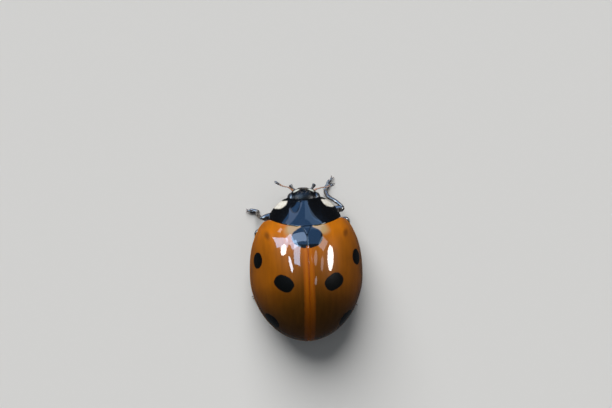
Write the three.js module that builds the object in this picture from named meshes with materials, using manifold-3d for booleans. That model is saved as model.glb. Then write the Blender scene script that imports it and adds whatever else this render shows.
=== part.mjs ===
// A seven-spot ladybird at life size, standing on its six feet.
// Millimetres. +Z is up, the floor is z = 0, the head points to -Y and the animal's left is +X.
// The origin is on the floor, midway along the body from the front foot to the rear of the wing cases.
import * as THREE from "three";
import { LoftGeometry } from "three/addons/geometries/LoftGeometry.js";
import { mergeVertices } from "three/addons/utils/BufferGeometryUtils.js";
import Module from "manifold-3d";

// ---- Driving dimensions ----

const fit = 0.03; // clearance where two pieces meet

// Wing cases: one dome on an egg-shaped plan, split down the back.
const caseTopZ = 3.9;
const caseHalfWidth = 2.76;
const caseMiddleY = 0.66; // the widest line across
const caseFrontReach = 3.38; // from that line to the plan's front end, which lies under the shield
const caseRearReach = 3.34;
const caseFrontFullness = 2.4; // exponents of the plan curve: 2 is an ellipse, more is squarer
const caseRearFullness = 1.95;
const caseThickness = 0.5;
const rimLowZ = 1.2; // the rim's height along the flank
const rimShoulderRise = 0.4; // extra height at the shoulder
const underRimRise = 0.1; // the turned-under rim slopes up toward the body
const seamHalfGap = 0.015;
const caseLastTurn = 0.975 * (Math.PI / 2); // the last section, just short of the tip
const shoulderY = -1.98; // where the rounded shoulder reaches the rim
const shoulderTightness = 12; // exponent of the shoulder's curve: the higher, the sharper

// Neck shield: its rear edge is an arc against the wing cases, its front edge is hollowed round the head.
const shieldHalfWidth = 1.77;
const shieldRearY = -1.8;
const shieldRearBow = 0.356; // the rear corners lie this much further forward than the middle
const shieldFrontY = -3.0;
const shieldFrontBow = 0.12; // the front angles reach this much past the middle
const shieldFrontHalf = 0.8; // half the distance between the front angles
const shieldSideFullness = 1.45;
const shieldFrontZ = 2.3;
const shieldAngleZ = 1.78;
const shieldCornerZ = 1.6;
const shieldCrown = 0.2; // 0 is a straight slope from front to rear, 1 is a full round
const shieldThickness = 0.5;

// Trunk
const bellyZ = 0.82;
const breastZ = 0.92; // underside of the front segment
const breastWidthShare = 0.78; // of the shield's width
const breastFrontInset = 0.2;
const breastSideRise = 0.12;
const thoraxFrontY = -1.74;
const waistY = 0.12; // where thorax and abdomen meet
const abdomenEndY = 3.4;

// Head
const headCentre = new THREE.Vector3(0, -2.98, 1.46);
const headRadii = new THREE.Vector3(0.73, 0.58, 0.62);
const eyeCentre = new THREE.Vector3(0.62, -3.08, 1.56);
const eyeRadii = new THREE.Vector3(0.2, 0.27, 0.3);
const labrumCentre = new THREE.Vector3(0, -3.47, 1.0);
const labrumRadii = new THREE.Vector3(0.32, 0.14, 0.17);

// Scutellum: the small triangle between the shield and the two wing cases
const scutellumHalfWidth = 0.21;
const scutellumLength = 0.42;
const scutellumDepth = 0.3;

// Limbs
const femurThickness = 0.52;
const tibiaThickness = 0.5;
const tarsusThickness = 0.5;
const feelerThickness = 0.5;
const palpThickness = 0.34;
const footFlatDepth = 0.03; // how much of the round sole is cut flat

// Joint centres of each leg. The tip is on the floor, so it has no height of its own.
const legs = {
  front_left: {
    coxa: [0.3, -2.36, 0.86],
    hip: [0.72, -2.38, 0.8],
    knee: [2.12, -2.12, 1.12],
    ankle: [2.24, -2.43, 0.27],
    tip: [2.82, -2.5],
  },
  front_right: {
    coxa: [-0.3, -2.36, 0.86],
    hip: [-0.72, -2.38, 0.8],
    knee: [-2.03, -2.46, 0.96],
    ankle: [-1.13, -3.36, 0.27],
    tip: [-1.56, -4.03],
  },
  middle_left: {
    coxa: [0.5, -1.36, 0.78],
    hip: [0.92, -1.34, 0.72],
    knee: [2.43, -1.47, 0.86],
    ankle: [2.12, -0.34, 0.27],
    tip: [2.46, 0.4],
  },
  middle_right: {
    coxa: [-0.5, -1.36, 0.78],
    hip: [-0.9, -1.42, 0.72],
    knee: [-2.2, -1.97, 0.92],
    ankle: [-2.14, -0.86, 0.27],
    tip: [-2.5, -0.14],
  },
  rear_left: {
    coxa: [0.42, -0.12, 0.76],
    hip: [0.62, 0.1, 0.7],
    knee: [1.5, 1.1, 0.84],
    ankle: [2.06, 1.5, 0.27],
    tip: [2.66, 1.86],
  },
  rear_right: {
    coxa: [-0.42, -0.12, 0.76],
    hip: [-0.64, 0.08, 0.7],
    knee: [-1.58, 0.98, 0.84],
    ankle: [-2.14, 1.8, 0.27],
    tip: [-2.5, 2.5],
  },
};

// Centre lines of the feelers and the mouth's palps, from the head outward
const feelers = {
  left: [[0.5, -3.44, 1.38], [0.73, -3.62, 1.33], [1.02, -3.7, 1.23], [1.4, -3.93, 1.08]],
  right: [[-0.5, -3.43, 1.38], [-0.82, -3.53, 1.33], [-1.2, -3.57, 1.25], [-1.57, -3.69, 1.16]],
};
const palps = {
  left: [[0.26, -3.36, 0.9], [0.46, -3.5, 0.82], [0.62, -3.72, 0.86]],
  right: [[-0.26, -3.36, 0.9], [-0.46, -3.5, 0.82], [-0.6, -3.74, 0.86]],
};

// ---- Finishes ----

const finishes = {
  wingCase: new THREE.MeshStandardMaterial({ color: 0xb35c06, roughness: 0.18, metalness: 0 }),
  blackShell: new THREE.MeshStandardMaterial({ color: 0x0b0b0d, roughness: 0.25, metalness: 0 }),
  eye: new THREE.MeshStandardMaterial({ color: 0x14161a, roughness: 0.3, metalness: 0 }),
  underside: new THREE.MeshStandardMaterial({ color: 0x121110, roughness: 0.45, metalness: 0 }),
  leg: new THREE.MeshStandardMaterial({ color: 0x17130f, roughness: 0.35, metalness: 0 }),
  feeler: new THREE.MeshStandardMaterial({ color: 0x8a5a34, roughness: 0.4, metalness: 0 }),
};

// ---- Joining and cutting ----

const wasm = await Module();
wasm.setup();

function solidOf(geometry) {
  const plain = new THREE.BufferGeometry().copy(geometry);
  plain.deleteAttribute("normal");
  plain.deleteAttribute("uv");
  const merged = mergeVertices(plain, 1e-4);
  return new wasm.Manifold(
    new wasm.Mesh({
      numProp: 3,
      vertProperties: new Float32Array(merged.attributes.position.array),
      triVerts: new Uint32Array(merged.index.array),
    }),
  );
}

function geometryOf(solid) {
  const mesh = solid.getMesh();
  const geometry = new THREE.BufferGeometry();
  geometry.setAttribute("position", new THREE.BufferAttribute(mesh.vertProperties, mesh.numProp));
  geometry.setIndex(new THREE.BufferAttribute(mesh.triVerts, 1));
  geometry.computeVertexNormals();
  return geometry;
}

function cut(solid, ...tools) {
  return tools.reduce((left, tool) => left.subtract(tool), solid);
}

// ---- Shape functions of the wing cases ----

const superellipse = (share, fullness) => Math.pow(Math.max(0, 1 - Math.pow(share, fullness)), 1 / fullness);

// Size of the dome when every side is drawn in by inset.
function domeSize(y, inset) {
  const rear = y > caseMiddleY;
  return {
    halfWidth: caseHalfWidth - inset,
    reach: (rear ? caseRearReach : caseFrontReach) - inset,
    fullness: rear ? caseRearFullness : caseFrontFullness,
    topZ: caseTopZ - inset,
  };
}

// The rim is level along the flank and climbs to the shoulder.
function rimZ(y, inset = 0) {
  const forward = Math.max(0, (0.8 - y) / 2.95);
  return rimLowZ + rimShoulderRise * forward * forward + (inset > 0 ? underRimRise : 0);
}

// Half the dome's width at y, and its height over a point of the plan.
function domeHalfWidth(y, inset = 0) {
  const size = domeSize(y, inset);
  const share = Math.min(1, Math.abs(y - caseMiddleY) / size.reach);
  return size.halfWidth * superellipse(share, size.fullness);
}

function domeZ(x, y, inset = 0) {
  const size = domeSize(y, inset);
  const across = Math.pow(Math.abs(x) / size.halfWidth, size.fullness);
  const along = Math.pow(Math.abs(y - caseMiddleY) / size.reach, size.fullness);
  const outward = Math.min(1, Math.pow(across + along, 1 / size.fullness));
  return THREE.MathUtils.lerp(rimZ(y, inset), size.topZ, Math.sqrt(1 - outward * outward));
}

const shieldArcY = (x) => shieldRearY - shieldRearBow * Math.pow(x / shieldHalfWidth, 2);

// One line across the dome, from the seam out to the rim: share 0 is the front edge, 1 the tip.
// The rim's place comes from turning along the plan curve. The front edge follows the shield's arc
// and curves back at the shoulder; further back the lines do the same, less and less.
function lineAcross(share, inset, count) {
  const front = domeSize(shoulderY, inset);
  const frontTurn = -Math.asin(Math.pow((caseMiddleY - shoulderY) / front.reach, front.fullness / 2));
  const turn = THREE.MathUtils.lerp(frontTurn, caseLastTurn, share);
  const size = domeSize(caseMiddleY + turn, inset);
  const rimX = size.halfWidth * Math.pow(Math.cos(turn), 2 / size.fullness);
  const rimReach = size.reach * Math.pow(Math.abs(Math.sin(turn)), 2 / size.fullness);
  const rimY = caseMiddleY + Math.sign(turn) * rimReach;
  const tipY = caseMiddleY + caseRearReach - inset;
  const forward = Math.pow((tipY - rimY) / (tipY - shoulderY), 2);
  const arcEndY = shieldArcY(domeHalfWidth(shoulderY, inset));
  const bow = (shieldRearY - arcEndY) * forward;
  const drop = (shoulderY - arcEndY) * forward;
  return Array.from({ length: count }, (_, i) => {
    const out = Math.sin(((i / (count - 1)) * Math.PI) / 2);
    const x = THREE.MathUtils.lerp(seamHalfGap, rimX, out);
    const y = rimY + bow * (1 - out * out) - drop * (1 - Math.pow(out, shoulderTightness));
    return new THREE.Vector3(x, y, domeZ(x, y, inset));
  });
}

// One wing case: sections run from the seam over the dome to the rim, and back along the inside.
function wingCase(side) {
  const stations = 22;
  const sections = Array.from({ length: stations }, (_, i) => {
    const share = i / (stations - 1);
    const outer = lineAcross(share, 0, 15);
    const inner = lineAcross(share, caseThickness, 9);
    const ring = [...outer, ...inner.reverse()];
    ring.forEach((point) => (point.x *= side));
    return side > 0 ? ring : ring.reverse();
  });
  return new LoftGeometry(sections, { capStart: true, capEnd: true });
}

// ---- The shield ----

function shieldFrontEdgeY(x) {
  const across = Math.abs(x);
  if (across <= shieldFrontHalf) {
    return shieldFrontY - shieldFrontBow * Math.pow(across / shieldFrontHalf, 2);
  }
  const cornerY = shieldRearY - shieldRearBow;
  const depth = cornerY - (shieldFrontY - shieldFrontBow);
  const share = Math.min(1, (across - shieldFrontHalf) / (shieldHalfWidth - shieldFrontHalf));
  return cornerY - depth * superellipse(share, shieldSideFullness);
}

function shieldEdgeZ(x) {
  const across = Math.abs(x);
  if (across <= shieldFrontHalf) {
    return THREE.MathUtils.lerp(shieldFrontZ, shieldAngleZ, Math.pow(across / shieldFrontHalf, 2));
  }
  const share = (across - shieldFrontHalf) / (shieldHalfWidth - shieldFrontHalf);
  return THREE.MathUtils.lerp(shieldAngleZ, shieldCornerZ, share);
}

// Height of the shield: from its front edge it rises to meet the wing cases along the rear arc.
function shieldZ(x, y) {
  const frontY = shieldFrontEdgeY(x);
  const share = THREE.MathUtils.clamp((y - frontY) / (shieldArcY(x) - frontY), 0, 1);
  const frontZ = shieldEdgeZ(x);
  const rearZ = domeZ(x, shieldArcY(x));
  const round = 1 - (1 - share) * (1 - share);
  return THREE.MathUtils.lerp(frontZ, rearZ, THREE.MathUtils.lerp(share, round, shieldCrown));
}

// A slab under the shield's plan, with vertical edges: sections run from its rear edge to its front edge and back.
function slab(halfWidth, columns, rows, edges, upperZ, lowerZ) {
  const widest = 0.985;
  const sections = Array.from({ length: columns }, (_, i) => {
    const x = halfWidth * widest * Math.sin((i / (columns - 1) - 0.5) * Math.PI);
    const [frontY, rearY] = edges(x);
    const upper = [];
    const lower = [];
    for (let j = 0; j < rows; j++) {
      const y = THREE.MathUtils.lerp(frontY, rearY, j / (rows - 1));
      upper.unshift(new THREE.Vector3(x, y, upperZ(x, y)));
      lower.push(new THREE.Vector3(x, y, lowerZ(x, y)));
    }
    return [...upper, ...lower];
  });
  return new LoftGeometry(sections, { capStart: true, capEnd: true });
}

// grow swells the shield on every side, for cutting its neighbours.
function shield(grow = 0) {
  const edges = (x) => [shieldFrontEdgeY(x) - grow, shieldArcY(x) - fit + grow];
  const upperZ = (x, y) => shieldZ(x, y) + grow;
  const lowerZ = (x, y) => shieldZ(x, y) - shieldThickness - grow;
  return slab(shieldHalfWidth + grow, 23, 6, edges, upperZ, lowerZ);
}

// ---- Trunk ----

// Sections across the body: an upper line under the wing cases and a belly that rises to the flanks.
function trunk(frontY, rearY) {
  const stations = 8;
  const points = 13;
  const inset = caseThickness + 2 * fit;
  const sections = Array.from({ length: stations }, (_, i) => {
    const share = Math.sin(((i / (stations - 1)) * Math.PI) / 2);
    const y = THREE.MathUtils.lerp(frontY, rearY, share);
    const halfWidth = Math.max(0.12, domeHalfWidth(y, inset));
    const upper = [];
    const lower = [];
    for (let j = 0; j < points; j++) {
      const across = Math.sin((j / (points - 1) - 0.5) * Math.PI);
      const x = halfWidth * across;
      const topZ = domeZ(x, y, inset);
      const edgeZ = rimZ(y, inset);
      upper.push(new THREE.Vector3(x, y, Math.max(topZ, edgeZ) + 0.01));
      const rise = (edgeZ - bellyZ) * Math.pow(Math.abs(across), 3);
      lower.unshift(new THREE.Vector3(x, y, bellyZ + rise - 0.01));
    }
    return [...lower, ...upper];
  });
  return new LoftGeometry(sections, { capStart: true, capEnd: true });
}

// The front segment's underside fills the hollow of the shield.
function breast(grow = 0) {
  const halfWidth = shieldHalfWidth * breastWidthShare + grow;
  const edges = (x) => [shieldFrontEdgeY(x) + breastFrontInset - grow, shieldArcY(x) - 4 * fit + grow];
  const lowerZ = (x) => breastZ + breastSideRise * Math.pow(x / halfWidth, 2) - grow;
  const upperZ = (x, y) => Math.max(shieldZ(x, y) - shieldThickness - 2 * fit, lowerZ(x) + 0.08);
  return slab(halfWidth, 13, 4, edges, upperZ, lowerZ);
}

// ---- Round pieces and limbs ----

function ellipsoid(centre, radii, grow, columns, rows) {
  const geometry = new THREE.SphereGeometry(1, columns, rows);
  geometry.scale(radii.x + grow, radii.y + grow, radii.z + grow);
  geometry.translate(centre.x, centre.y, centre.z);
  return geometry;
}

// A limb along a path: profile lists [share of the path, share of the half thickness].
function limb(path, thickness, profile, grow = 0, sides = 8) {
  const curve = new THREE.CatmullRomCurve3(path);
  const sections = profile.map(([share, fullness]) => {
    const centre = curve.getPointAt(share);
    const along = curve.getTangentAt(share);
    centre.addScaledVector(along, grow * (2 * share - 1));
    const up = new THREE.Vector3(0, 0, 1);
    if (Math.abs(along.z) > 0.95) up.set(0, 1, 0);
    up.addScaledVector(along, -up.dot(along)).normalize();
    const sideways = new THREE.Vector3().crossVectors(up, along);
    const radius = (thickness / 2) * fullness + grow;
    return Array.from({ length: sides }, (_, i) => {
      const turn = (2 * Math.PI * i) / sides;
      const point = centre.clone();
      point.addScaledVector(sideways, radius * Math.cos(turn));
      return point.addScaledVector(up, radius * Math.sin(turn));
    });
  });
  return new LoftGeometry(sections, { capStart: true, capEnd: true });
}

const vector = (place) => new THREE.Vector3(...place);

const coxaProfile = [[0, 0.6], [0.2, 1], [0.8, 0.95], [1, 0.6]];
const femurProfile = [[0, 0.7], [0.1, 0.98], [0.4, 1.06], [0.75, 1.02], [0.95, 0.85], [1, 0.5]];
const tibiaProfile = [[0, 0.6], [0.08, 0.96], [0.8, 1], [1, 0.65]];
const tarsusProfile = [[0, 0.6], [0.1, 1], [0.65, 1], [0.9, 0.85], [1, 0.5]];
const feelerProfile = [[0, 0.7], [0.08, 1], [0.3, 1], [0.55, 1], [0.75, 1.02], [0.9, 1.1], [1, 0.6]];
const palpProfile = [[0, 0.8], [0.3, 0.95], [0.6, 1.05], [0.9, 1.2], [1, 0.8]];

const floorBox = solidOf(new THREE.BoxGeometry(20, 20, 2).translate(0, 0, -1));

// The four pieces of a leg, each cut back where the one before it ends.
function legPieces(joints) {
  const coxaPath = [vector(joints.coxa), vector(joints.hip)];
  const femurPath = [vector(joints.hip), vector(joints.knee)];
  const knee = vector(joints.knee);
  const ankle = vector(joints.ankle);
  const sole = tarsusThickness / 2 - footFlatDepth;
  const tip = vector([...joints.tip, sole]);
  const heel = new THREE.Vector3(ankle.x, ankle.y, sole);
  const make = {
    coxa: (grow) => solidOf(limb(coxaPath, femurThickness, coxaProfile, grow)),
    femur: (grow) => solidOf(limb(femurPath, femurThickness, femurProfile, grow)),
    tibia: (grow) => solidOf(limb([knee, ankle], tibiaThickness, tibiaProfile, grow)),
    tarsus: (grow) => solidOf(limb([heel, tip], tarsusThickness, tarsusProfile, grow)),
  };
  return {
    make,
    coxa: make.coxa(0),
    femur: cut(make.femur(0), make.coxa(fit)),
    tibia: cut(make.tibia(0), make.femur(fit), make.coxa(fit), floorBox),
    tarsus: cut(make.tarsus(0), make.tibia(fit), floorBox),
  };
}

// ---- Assembly ----

const ladybird = new THREE.Group();
ladybird.name = "ladybird";

function add(name, solid, finish) {
  const mesh = new THREE.Mesh(geometryOf(solid), finish);
  mesh.name = name;
  ladybird.add(mesh);
}

const legSolids = Object.entries(legs).map(([place, joints]) => [place, legPieces(joints)]);
const legCuts = legSolids.flatMap(([, leg]) => ["coxa", "femur", "tibia"].map((part) => leg.make[part](fit)));

for (const [place, leg] of legSolids) {
  for (const part of ["coxa", "femur", "tibia", "tarsus"]) {
    add(`${part}_${place}`, leg[part], finishes.leg);
  }
}

// Scutellum and the notch for it in the wing cases
function scutellumWedge(grow) {
  const frontY = shieldRearY + fit - grow;
  const outline = new THREE.Shape([
    new THREE.Vector2(-scutellumHalfWidth - grow, frontY),
    new THREE.Vector2(scutellumHalfWidth + grow, frontY),
    new THREE.Vector2(0.04 + grow, frontY + scutellumLength + 2 * grow),
    new THREE.Vector2(-0.04 - grow, frontY + scutellumLength + 2 * grow),
  ]);
  const wedge = new THREE.ExtrudeGeometry(outline, { depth: 2, bevelEnabled: false });
  const baseZ = domeZ(0, shieldRearY) - scutellumDepth - grow;
  return solidOf(wedge.translate(0, 0, baseZ));
}
const crownOfCases = solidOf(ellipsoid(
  new THREE.Vector3(0, caseMiddleY, rimLowZ),
  new THREE.Vector3(caseHalfWidth, caseFrontReach, caseTopZ - rimLowZ),
  -0.02,
  48,
  32,
));
add("scutellum", scutellumWedge(0).intersect(crownOfCases), finishes.blackShell);

for (const [place, side] of [["left", 1], ["right", -1]]) {
  add(`elytron_${place}`, cut(solidOf(wingCase(side)), scutellumWedge(fit), ...legCuts), finishes.wingCase);
}

add("thorax", cut(solidOf(trunk(thoraxFrontY, waistY - fit)), ...legCuts), finishes.underside);
add("abdomen", cut(solidOf(trunk(waistY, abdomenEndY)), ...legCuts), finishes.underside);
add("pronotum", solidOf(shield()), finishes.blackShell);
add("prothorax", cut(solidOf(breast()), ...legCuts), finishes.underside);

const mirrored = (centre, side) => new THREE.Vector3(side * centre.x, centre.y, centre.z);
const eyeSolids = [1, -1].map((side) => (grow) =>
  solidOf(ellipsoid(mirrored(eyeCentre, side), eyeRadii, grow, 12, 8)),
);
const shieldCut = solidOf(shield(fit));
const labrum = (grow) => solidOf(ellipsoid(labrumCentre, labrumRadii, grow, 12, 6));
const headWhole = (grow) => solidOf(ellipsoid(headCentre, headRadii, grow, 20, 12));
add("head", cut(headWhole(0), shieldCut, solidOf(breast(fit)), labrum(fit), ...eyeSolids.map((eye) => eye(fit))),
  finishes.blackShell);
add("eye_left", cut(eyeSolids[0](0), shieldCut), finishes.eye);
add("eye_right", cut(eyeSolids[1](0), shieldCut), finishes.eye);
add("labrum", labrum(0), finishes.blackShell);

for (const [index, place] of ["left", "right"].entries()) {
  const feeler = solidOf(limb(feelers[place].map(vector), feelerThickness, feelerProfile));
  add(`antenna_${place}`, cut(feeler, headWhole(fit), eyeSolids[index](fit)), finishes.feeler);
  const palp = solidOf(limb(palps[place].map(vector), palpThickness, palpProfile));
  add(`palp_${place}`, cut(palp, headWhole(fit), labrum(fit)), finishes.leg);
}

export default ladybird;
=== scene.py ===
import math

import bpy
import numpy as np
from mathutils import Matrix, Vector


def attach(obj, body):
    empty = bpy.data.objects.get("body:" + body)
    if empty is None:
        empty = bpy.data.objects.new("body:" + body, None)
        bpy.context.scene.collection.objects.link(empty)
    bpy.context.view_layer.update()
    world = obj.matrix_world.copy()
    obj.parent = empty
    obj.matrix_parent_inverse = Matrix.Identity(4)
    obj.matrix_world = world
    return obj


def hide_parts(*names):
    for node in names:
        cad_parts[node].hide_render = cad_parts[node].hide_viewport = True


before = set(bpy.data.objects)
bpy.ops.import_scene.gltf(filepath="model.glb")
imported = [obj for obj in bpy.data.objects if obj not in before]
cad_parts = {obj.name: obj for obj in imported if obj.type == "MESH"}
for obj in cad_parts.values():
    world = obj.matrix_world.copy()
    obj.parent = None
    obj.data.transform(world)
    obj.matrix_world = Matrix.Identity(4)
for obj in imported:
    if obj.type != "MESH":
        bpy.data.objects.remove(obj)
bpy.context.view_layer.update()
mm = 0.001
random = np.random.default_rng(7)
print("frame loaded:", len(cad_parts), "nodes")


# shapes: a shape is (points, quads, triangles)

def smoothStep(low, high, value):
    # 3s^2 - 2s^3 of the share s between low and high
    share = np.clip((value - low) / (high - low), 0, 1)
    return share * share * (3 - 2 * share)


def blend(low, high, share):
    return low + (high - low) * share


def hump(value, width):
    # exp(-(value / width)^2)
    return np.exp(-np.square(value / width))


def unit(vectors):
    # each vector over its own length
    return vectors / np.maximum(np.linalg.norm(vectors, axis=-1, keepdims=True), 1e-12)


def fullTurn(count):
    # angles once round, the last one left out
    return np.linspace(0, 2 * np.pi, count, endpoint=False)


def crowded(count):
    # steps from -1 to 1, closer together toward both ends: the sine of a half turn
    return np.sin(np.linspace(-np.pi / 2, np.pi / 2, count))


def crowdedShare(count):
    # steps from 0 to 1, closer together toward both ends
    return (1 - np.cos(np.linspace(0, np.pi, count))) / 2


def gridCells(rows, columns):
    # corners of the cells of a grid whose rows are loops; a cell faces columns x rows
    row = np.arange(rows - 1)[:, None]
    column = np.arange(columns)[None, :]
    after = (column + 1) % columns
    corners = (row * columns + column, row * columns + after,
               (row + 1) * columns + after, (row + 1) * columns + column)
    return np.stack(np.broadcast_arrays(*corners), -1).reshape(-1, 4)


def closedRings(rings):
    # rings[row, column, value]: each row is a loop, the first and last rows shrink to a point
    rows, columns, width = rings.shape
    points = np.vstack([rings[1:-1].reshape(-1, width), rings[0].mean(0), rings[-1].mean(0)])
    count = (rows - 2) * columns
    column = np.arange(columns)
    after = (column + 1) % columns
    lastRow = (rows - 3) * columns
    start = np.stack([np.full(columns, count), after, column], 1)
    end = np.stack([np.full(columns, count + 1), lastRow + column, lastRow + after], 1)
    return points, gridCells(rows - 2, columns), np.vstack([start, end])


def foldedRings(rings):
    # rings[row, column, value]: the second half of each loop lies behind the first half,
    # so each end is closed by the strip between the two halves
    rows, columns, width = rings.shape
    half = columns // 2
    one = np.arange(half - 1)
    strip = np.stack([one, columns - 1 - one, columns - 2 - one, one + 1], 1)
    last = (rows - 1) * columns + strip[:, ::-1]
    quads = np.vstack([gridCells(rows, columns), strip, last])
    return rings.reshape(-1, width), quads, np.zeros((0, 3), int)


def sheetPair(x, y, lowZ, topZ):
    # rows of loops that run along the lower sheet and back along the upper one
    sheets = [np.stack([x, y, z], -1) for z in (lowZ, topZ)]
    return np.concatenate([sheets[0], sheets[1][:, ::-1]], 1)


def mirrored(shape):
    points, quads, triangles = shape
    flipped = points.copy()
    flipped[:, 0] *= -1
    return flipped, quads[:, ::-1], triangles[:, ::-1]


def joined(shapes):
    starts = np.cumsum([0] + [len(points) for points, quads, triangles in shapes])
    points = np.vstack([shape[0] for shape in shapes])
    quads = np.vstack([shape[1] + start for shape, start in zip(shapes, starts)])
    triangles = np.vstack([shape[2] + start for shape, start in zip(shapes, starts)])
    return points, quads, triangles


def surfaceNormals(grid):
    # unit vectors across a grid of points, along columns x rows
    alongRows = np.gradient(grid[..., :3], axis=0)
    alongColumns = np.gradient(grid[..., :3], axis=1)
    return unit(np.cross(alongColumns, alongRows))


def addObject(name, data):
    added = bpy.data.objects.new(name, data)
    bpy.context.scene.collection.objects.link(added)
    return added


def makePiece(name, shape, finishName, replaced=(), valueNames=(), uv=None):
    # values beyond x, y, z in the points become attributes that the finish reads
    points, quads, triangles = shape
    mesh = bpy.data.meshes.new(name)
    corners = np.concatenate([quads.ravel(), triangles.ravel()]).astype(np.int32)
    sizes = np.concatenate([np.full(len(quads), 4), np.full(len(triangles), 3)])
    starts = np.concatenate([[0], np.cumsum(sizes)[:-1]]).astype(np.int32)
    mesh.vertices.add(len(points))
    mesh.vertices.foreach_set("co", (points[:, :3] * mm).astype(np.float32).ravel())
    mesh.loops.add(len(corners))
    mesh.loops.foreach_set("vertex_index", corners)
    mesh.polygons.add(len(sizes))
    mesh.polygons.foreach_set("loop_start", starts)
    mesh.update(calc_edges=True)
    mesh.polygons.foreach_set("use_smooth", np.ones(len(sizes), bool))
    for column, valueName in enumerate(valueNames):
        attribute = mesh.attributes.new(valueName, "FLOAT", "POINT")
        attribute.data.foreach_set("value", points[:, 3 + column].astype(np.float32))
    if uv is not None:
        layer = mesh.uv_layers.new(name="OFBake")
        layer.data.foreach_set("uv", uv[corners].astype(np.float32).ravel())
    mesh.materials.append(finishes[finishName])
    piece = addObject(name, mesh)
    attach(piece, "root")
    if replaced:
        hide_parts(*replaced)
    return piece


# limbs: an ellipse carried along a curve

def alongPath(knots, share):
    # Catmull-Rom curve through the knots: share 0 is the first, 1 the last
    knots = np.asarray(knots, float)
    ends = np.vstack([2 * knots[0] - knots[1], knots, 2 * knots[-1] - knots[-2]])
    spans = len(knots) - 1
    place = np.clip(share, 0, 1) * spans
    cell = np.minimum(place.astype(int), spans - 1)
    t = (place - cell)[..., None]
    a, b, c, d = (ends[cell + i] for i in range(4))
    return 0.5 * (2 * b + (c - a) * t + (2 * a - 5 * b + 4 * c - d) * t ** 2
                  + (3 * b - a - 3 * c + d) * t ** 3)


def easedStops(share, stops, ease=0.05):
    # the value between (share, value) stops, averaged over a short stretch to round its corners
    places, values = zip(*stops)
    offsets = np.linspace(-ease, ease, 7)
    return np.mean([np.interp(share + offset, places, values) for offset in offsets], axis=0)


def limb(knots, wide, deep, up=(0, 0, 1), roundness=0.12):
    # half widths across and half depths along up, as (share, value) stops or evenly spaced values;
    # roundness is the share of the length that each round end takes
    wide, deep = (sizes if np.ndim(sizes) == 2 else list(zip(np.linspace(0, 1, len(sizes)), sizes))
                  for sizes in (wide, deep))
    return dict(knots=np.asarray(knots, float), wide=wide, deep=deep, up=up, roundness=roundness)


def limbFrame(part, share):
    # place on the centre line, its direction, and the two directions across it
    step = 1e-3
    centre = alongPath(part["knots"], share)
    along = alongPath(part["knots"], np.minimum(share + step, 1)) \
        - alongPath(part["knots"], np.maximum(share - step, 0))
    along = unit(along)
    sideways = unit(np.cross(part["up"], along))
    return centre, along, sideways, np.cross(along, sideways)


def limbPoints(part, share, turn):
    # centre + sideways wide cos(turn) + top deep sin(turn), with round ends, and outward vectors
    centre, along, sideways, top = limbFrame(part, share)
    nearEnd = np.minimum(share, 1 - share) / part["roundness"]
    ends = np.sqrt(1 - np.square(1 - np.clip(nearEnd, 0, 1)))
    wide = (easedStops(share, part["wide"]) * ends)[..., None]
    deep = (easedStops(share, part["deep"]) * ends)[..., None]
    cos, sin = np.cos(turn)[..., None], np.sin(turn)[..., None]
    outward = unit(sideways * cos * deep + top * sin * wide)
    return centre + sideways * wide * cos + top * deep * sin, outward, along


def limbShape(part, rows=28, sides=24, floorLevel=None):
    # a closed limb; floorLevel presses its underside flat
    share, turn = np.meshgrid(crowdedShare(rows), fullTurn(sides), indexing="ij")
    points = limbPoints(part, share, turn)[0]
    if floorLevel is not None:
        points[..., 2] = np.maximum(points[..., 2], floorLevel)
    return closedRings(points)


def roundShape(centre, radii, fullness=2.0, rows=32, sides=40, change=None):
    # |x/rx|^f + |y/ry|^f + |z/rz|^f = 1 about the centre, poles on Z; change moves the points
    polar = np.linspace(0, np.pi, rows)[:, None]
    turn = fullTurn(sides)[None, :]
    ray = np.stack([np.sin(polar) * np.cos(turn), np.sin(polar) * np.sin(turn),
                    np.cos(polar) * np.ones_like(turn)], -1)
    reach = np.sum(np.abs(ray) ** fullness, -1, keepdims=True) ** (-1 / fullness)
    points = np.asarray(centre) + ray * reach * np.asarray(radii)
    if change is not None:
        points = change(points, ray)
    return closedRings(points[::-1])


# finishes

def newFinish(name):
    finish = bpy.data.materials.new(name)
    finish.use_nodes = True
    return finish, finish.node_tree


def setInputs(tree, node, inputs):
    # a socket is linked, anything else is the value itself
    for key, value in inputs.items():
        if isinstance(value, bpy.types.NodeSocket):
            tree.links.new(value, node.inputs[key])
        else:
            node.inputs[key].default_value = value


def addNode(tree, kind, inputs=(), **settings):
    node = tree.nodes.new("ShaderNode" + kind)
    for key, value in settings.items():
        setattr(node, key, value)
    setInputs(tree, node, dict(inputs))
    return node


def calc(tree, operation, *values):
    return addNode(tree, "Math", enumerate(values), operation=operation).outputs[0]


def vectorCalc(tree, operation, first, second):
    return addNode(tree, "VectorMath", {0: first, 1: second}, operation=operation).outputs[0]


def span(tree, value, fromLow, fromHigh, toLow=0.0, toHigh=1.0):
    # smooth change from toLow to toHigh while value goes from fromLow to fromHigh
    inputs = {"Value": value, "From Min": fromLow, "From Max": fromHigh, "To Min": toLow,
              "To Max": toHigh}
    return addNode(tree, "MapRange", inputs, interpolation_type="SMOOTHSTEP").outputs[0]


def mixColour(tree, share, first, second, kind="MIX"):
    first, second = ((*value, 1) if isinstance(value, tuple) else value for value in (first, second))
    node = addNode(tree, "Mix", data_type="RGBA", blend_type=kind)
    setInputs(tree, node, {0: share, 6: first, 7: second})
    return node.outputs[2]


def millimetres(tree, stretch=(1, 1, 1)):
    # Object coordinates in millimetres, each axis multiplied by stretch
    source = addNode(tree, "TexCoord").outputs["Object"]
    scale = [value / mm for value in stretch]
    return addNode(tree, "Mapping", {"Vector": source, "Scale": scale}).outputs[0]


def noise(tree, scale, detail, stretch=(1, 1, 1)):
    inputs = {"Vector": millimetres(tree, stretch), "Scale": scale, "Detail": detail}
    return addNode(tree, "TexNoise", inputs).outputs["Fac"]


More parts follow.
